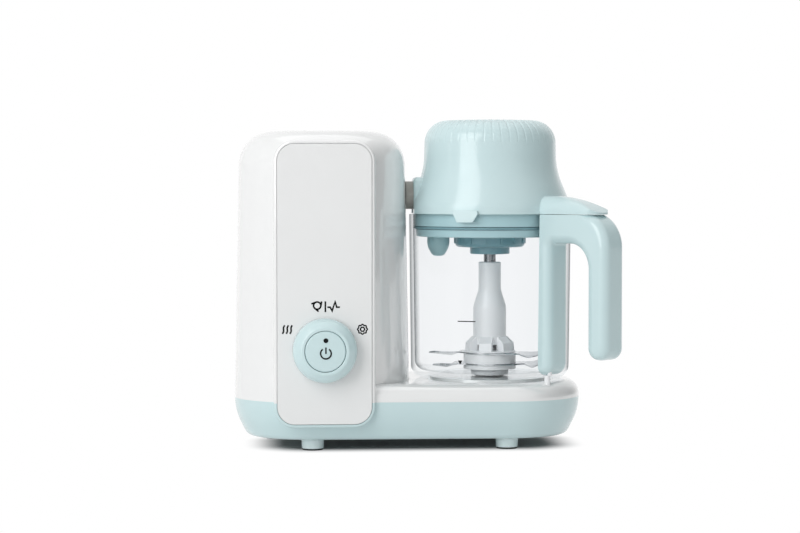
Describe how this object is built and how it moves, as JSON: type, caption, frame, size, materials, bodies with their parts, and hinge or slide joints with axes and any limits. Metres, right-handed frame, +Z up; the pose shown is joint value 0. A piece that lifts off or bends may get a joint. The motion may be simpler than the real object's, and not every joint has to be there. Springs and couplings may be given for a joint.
{
  "type": "baby food maker",
  "caption": "Baby food maker with a steam tower, water tank and control knob beside a lidded blending jar with handle and blade set on a belt-driven base",
  "frame": {"origin": "on the worktop under the middle of the whole object's plan", "axes": "+X from the tower to the jar, +Y from the front panel to the back, +Z up"},
  "size_m": [0.3084, 0.1762, 0.2693],
  "materials": {
    "white_plastic": "satin gloss moulding",
    "blue_plastic": "pale blue satin gloss moulding",
    "clear_plastic": "clear copolyester",
    "frosted_plastic": "frosted translucent moulding",
    "white_nylon": "plain white moulding",
    "dark_nylon": "plain dark moulding",
    "steel": "stamped, drawn or turned steel",
    "bronze": "sintered bronze",
    "aluminium": "die-cast",
    "grey_silicone": "grey silicone",
    "black_rubber": "black rubber",
    "board": "green circuit board"
  },
  "bodies": {
    "base": {"base_shell": "blue_plastic", "feet": "blue_plastic", "foot_pads": "black_rubber", "deck_cover": "white_plastic", "tower_shell": "white_plastic", "front_panel": "white_plastic", "water_tank": "frosted_plastic", "tank_lid_pin": "steel", "boiler_body": "aluminium", "boiler_cover": "aluminium", "heater_element": "steel", "thermostat": "steel", "feed_tube": "grey_silicone", "steam_tube": "grey_silicone", "steam_nozzle": "dark_nylon", "nozzle_seal": "grey_silicone", "cord_gland": "black_rubber", "chassis_plate": "dark_nylon", "chassis_screws": "steel", "motor_can": "steel", "motor_end_cap": "dark_nylon", "motor_magnets": "steel", "motor_screws": "steel", "drive_belt": "black_rubber", "bearing_housing": "dark_nylon", "spindle_bearings": "steel", "bearing_screws": "steel", "spindle_seal": "grey_silicone", "control_board": "board", "selector_switch": "dark_nylon", "power_switch": "dark_nylon", "board_screws": "steel", "interlock_switch": "dark_nylon"},
    "selector": {"selector_knob": "blue_plastic"},
    "button": {"power_button": "blue_plastic"},
    "tank_cover": {"tank_lid": "white_plastic", "tank_lid_seal": "grey_silicone"},
    "jar": {"jar": "clear_plastic", "handle": "blue_plastic", "jar_bush": "white_nylon", "jar_shaft_seal": "grey_silicone"},
    "lid": {"lid_shell": "blue_plastic", "lid_liner": "blue_plastic", "lid_seal": "grey_silicone", "shaft_bush": "bronze", "steam_duct": "blue_plastic", "lid_steam_seal": "grey_silicone"},
    "blade": {"blade_shaft": "steel", "driven_coupling": "dark_nylon", "blade_sleeve": "white_nylon", "upper_blade": "steel", "lower_blade": "steel"},
    "drive": {"drive_spindle": "steel", "driver_coupling": "dark_nylon", "drive_pulley": "dark_nylon"},
    "rotor": {"motor_rotor": "steel", "motor_pulley": "dark_nylon"},
    "rod": {"interlock_rod": "white_nylon"},
    "plunger": {"interlock_plunger": "white_nylon"}
  },
  "joints": [
    {"name": "selector_turn", "type": "hinge", "parent": "base", "child": "selector", "pos_m": [-0.08216, -0.05788, 0.0833], "axis": [0, -1, 0], "range_deg": [-60, 60]},
    {"name": "button_press", "type": "slide", "parent": "selector", "child": "button", "axis": [0, 1, 0], "range_m": [0, 0.002], "stiffness_N_per_m": 500},
    {"name": "tank_lid_hinge", "type": "hinge", "parent": "base", "child": "tank_cover", "pos_m": [-0.08216, 0.05012, 0.2568], "axis": [-1, 0, 0], "range_deg": [0, 95]},
    {"name": "jar_lift", "type": "slide", "parent": "base", "child": "jar", "axis": [0, 0, 1], "range_m": [0, 0.2]},
    {"name": "lid_lift", "type": "slide", "parent": "jar", "child": "lid", "axis": [0, 0, 1], "range_m": [0, 0.12]},
    {"name": "motor_spin", "type": "hinge", "parent": "base", "child": "rotor", "pos_m": [-0.06116, 0.01712, 0.06], "axis": [0, 0, 1], "continuous": true},
    {"name": "drive_spin", "type": "hinge", "parent": "base", "child": "drive", "pos_m": [0.05784, 0.01712, 0.04], "axis": [0, 0, 1], "continuous": true},
    {"name": "blade_spin", "type": "hinge", "parent": "jar", "child": "blade", "pos_m": [0.05784, 0.01712, 0.1], "axis": [0, 0, 1], "continuous": true},
    {"name": "rod_slide", "type": "slide", "parent": "jar", "child": "rod", "axis": [0, 0, 1], "range_m": [0, 0.003]},
    {"name": "plunger_slide", "type": "slide", "parent": "base", "child": "plunger", "axis": [0, 0, 1], "range_m": [0, 0.003]}
  ],
  "couplings": [
    {"joint": "drive_spin", "follows": "motor_spin", "ratio": 0.33333},
    {"joint": "blade_spin", "follows": "motor_spin", "ratio": 0.33333},
    {"joint": "rod_slide", "follows": "lid_lift", "ratio": 0.025},
    {"joint": "plunger_slide", "follows": "jar_lift", "ratio": 0.015}
  ]
}
